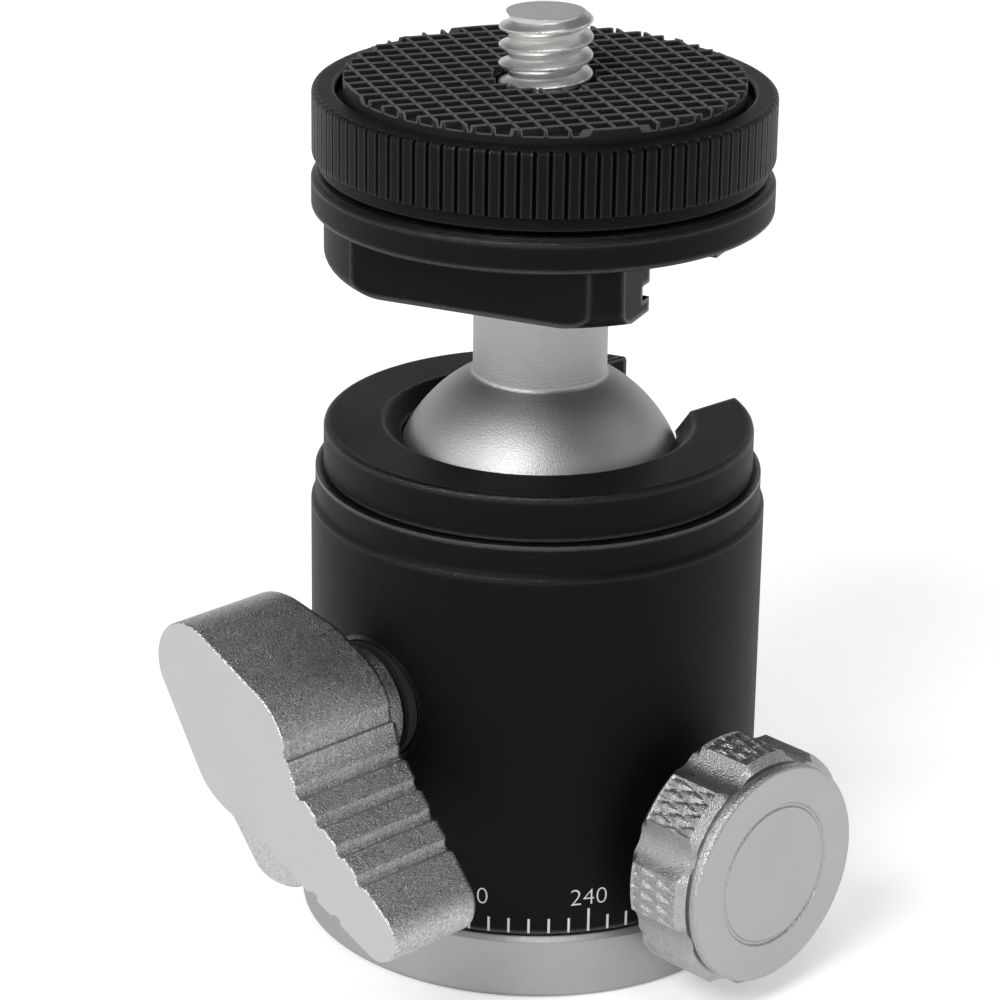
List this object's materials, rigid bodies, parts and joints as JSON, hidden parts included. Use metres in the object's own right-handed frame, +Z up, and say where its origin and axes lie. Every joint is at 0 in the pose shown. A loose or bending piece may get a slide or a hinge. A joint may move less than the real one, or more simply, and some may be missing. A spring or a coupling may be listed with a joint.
{
  "type": "tripod ball head",
  "caption": "Compact tripod ball head: clamped ball and stem with a drop notch, panning housing, wing and round lock knobs, and a ridged rubber camera platform with a screw stud.",
  "frame": {"origin": "centre of the tripod socket's mouth at the foot's underside", "axes": "+Z up along the pan axis, -X out along the main knob, -Y out along the pan knob, +X out towards the drop notch, which is turned 2 degrees towards the pan knob"},
  "size_m": [0.0442, 0.0402, 0.0656],
  "materials": {
    "black_anodised": "black anodised, satin",
    "satin_aluminium": "turned and finely blasted",
    "blasted_aluminium": "bead blasted",
    "turned_aluminium": "turned, knurled, blasted face",
    "stud_steel": "machined",
    "steel": "machined",
    "brass": "turned",
    "nylon": "smooth",
    "rubber": "matt, ridged"
  },
  "bodies": {
    "base": {"base_foot": "satin_aluminium", "tripod_bush": "steel", "pan_slip_ring": "nylon"},
    "housing": {"housing": "black_anodised", "housing_keeper_screws": "steel", "collar": "black_anodised", "collar_lock_screw": "steel", "upper_seat": "nylon"},
    "main_washer": {"main_knob_washer": "nylon"},
    "main_knob": {"main_knob": "blasted_aluminium", "main_clamp_screw": "steel"},
    "pusher": {"wedge_pusher": "steel"},
    "seat": {"lower_seat": "steel"},
    "pan_washer": {"pan_knob_washer": "nylon"},
    "pan_knob": {"pan_knob": "turned_aluminium", "pan_clamp_screw": "steel"},
    "pan_brake": {"pan_brake_pad": "nylon"},
    "liner": {"ball_liner": "nylon"},
    "ball": {"ball_stem": "satin_aluminium"},
    "platform": {"platform": "black_anodised", "camera_stud": "stud_steel"},
    "disc_washer": {"disc_slip_washer": "nylon"},
    "lock_disc": {"lock_disc": "black_anodised", "lock_disc_insert": "brass", "rubber_pad": "rubber"}
  },
  "joints": [
    {"name": "pan", "type": "hinge", "parent": "base", "child": "housing", "pos_m": [0, 0, 0.0046], "axis": [0, 0, 1], "continuous": true},
    {"name": "side_tilt", "type": "hinge", "parent": "housing", "child": "liner", "pos_m": [0, 0, 0.0308], "axis": [0.9994, -0.0349, 0], "range_deg": [-25, 25]},
    {"name": "notch_tilt", "type": "hinge", "parent": "liner", "child": "ball", "pos_m": [0, 0, 0.0308], "axis": [0.0349, 0.9994, 0], "range_deg": [-26, 90]},
    {"name": "spin", "type": "hinge", "parent": "ball", "child": "platform", "pos_m": [0, 0, 0.048], "axis": [0, 0, 1], "continuous": true},
    {"name": "disc_turn", "type": "hinge", "parent": "platform", "child": "disc_washer", "pos_m": [0, 0, 0.0549], "axis": [0, 0, 1], "range_deg": [0, 720]},
    {"name": "disc_lift", "type": "slide", "parent": "disc_washer", "child": "lock_disc", "axis": [0, 0, 1], "range_m": [0, 0.00254]},
    {"name": "main_turn", "type": "hinge", "parent": "housing", "child": "main_washer", "pos_m": [0, 0, 0.02], "axis": [1, 0, 0], "range_deg": [-360, 150]},
    {"name": "main_feed", "type": "slide", "parent": "main_washer", "child": "main_knob", "axis": [1, 0, 0], "range_m": [-0.0008, 0.00033]},
    {"name": "pusher_slide", "type": "slide", "parent": "housing", "child": "pusher", "axis": [1, 0, 0], "range_m": [-0.0008, 0.00033]},
    {"name": "seat_lift", "type": "slide", "parent": "housing", "child": "seat", "axis": [0, 0, 1], "range_m": [-0.0002146, 0.0000895]},
    {"name": "pan_turn", "type": "hinge", "parent": "housing", "child": "pan_washer", "pos_m": [0, 0, 0.0101], "axis": [0, 1, 0], "range_deg": [-360, 90]},
    {"name": "pan_feed", "type": "slide", "parent": "pan_washer", "child": "pan_knob", "axis": [0, 1, 0], "range_m": [-0.0007, 0.000175]},
    {"name": "brake_slide", "type": "slide", "parent": "housing", "child": "pan_brake", "axis": [0, 1, 0], "range_m": [-0.0007002, 0.0001752]}
  ],
  "couplings": [
    {"joint": "disc_turn", "follows": "disc_lift", "rad_per_m": 4947.4},
    {"joint": "main_turn", "follows": "main_feed", "rad_per_m": 7854},
    {"joint": "pusher_slide", "follows": "main_feed", "ratio": 1},
    {"joint": "seat_lift", "follows": "main_feed", "ratio": 0.26795},
    {"joint": "pan_turn", "follows": "pan_feed", "rad_per_m": 8976},
    {"joint": "brake_slide", "follows": "pan_feed", "ratio": 1}
  ]
}
